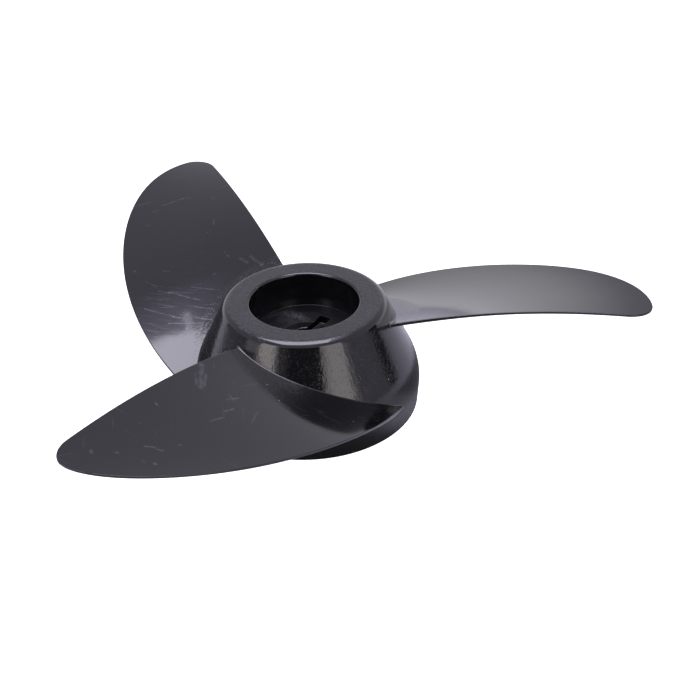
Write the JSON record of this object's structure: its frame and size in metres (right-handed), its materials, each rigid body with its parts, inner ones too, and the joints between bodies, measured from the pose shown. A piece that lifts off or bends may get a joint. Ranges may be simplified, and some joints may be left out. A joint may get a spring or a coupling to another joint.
{
  "type": "electric outboard motor propeller",
  "caption": "Glossy black moulded-plastic propeller: a conical hub with a round nut recess and broad twisted blades swept back from it.",
  "frame": {"origin": "on the shaft axis, in the plane of the skirt's open rim, which faces the motor", "axes": "+Z along the shaft axis from the motor side to the nut side; -Y is the side that the picture was taken from"},
  "size_m": [0.2261, 0.247, 0.0505],
  "materials": {
    "black_nylon": "glossy black glass-filled nylon, as moulded"
  },
  "bodies": {
    "root": {"propeller": "black_nylon"}
  },
  "joints": []
}
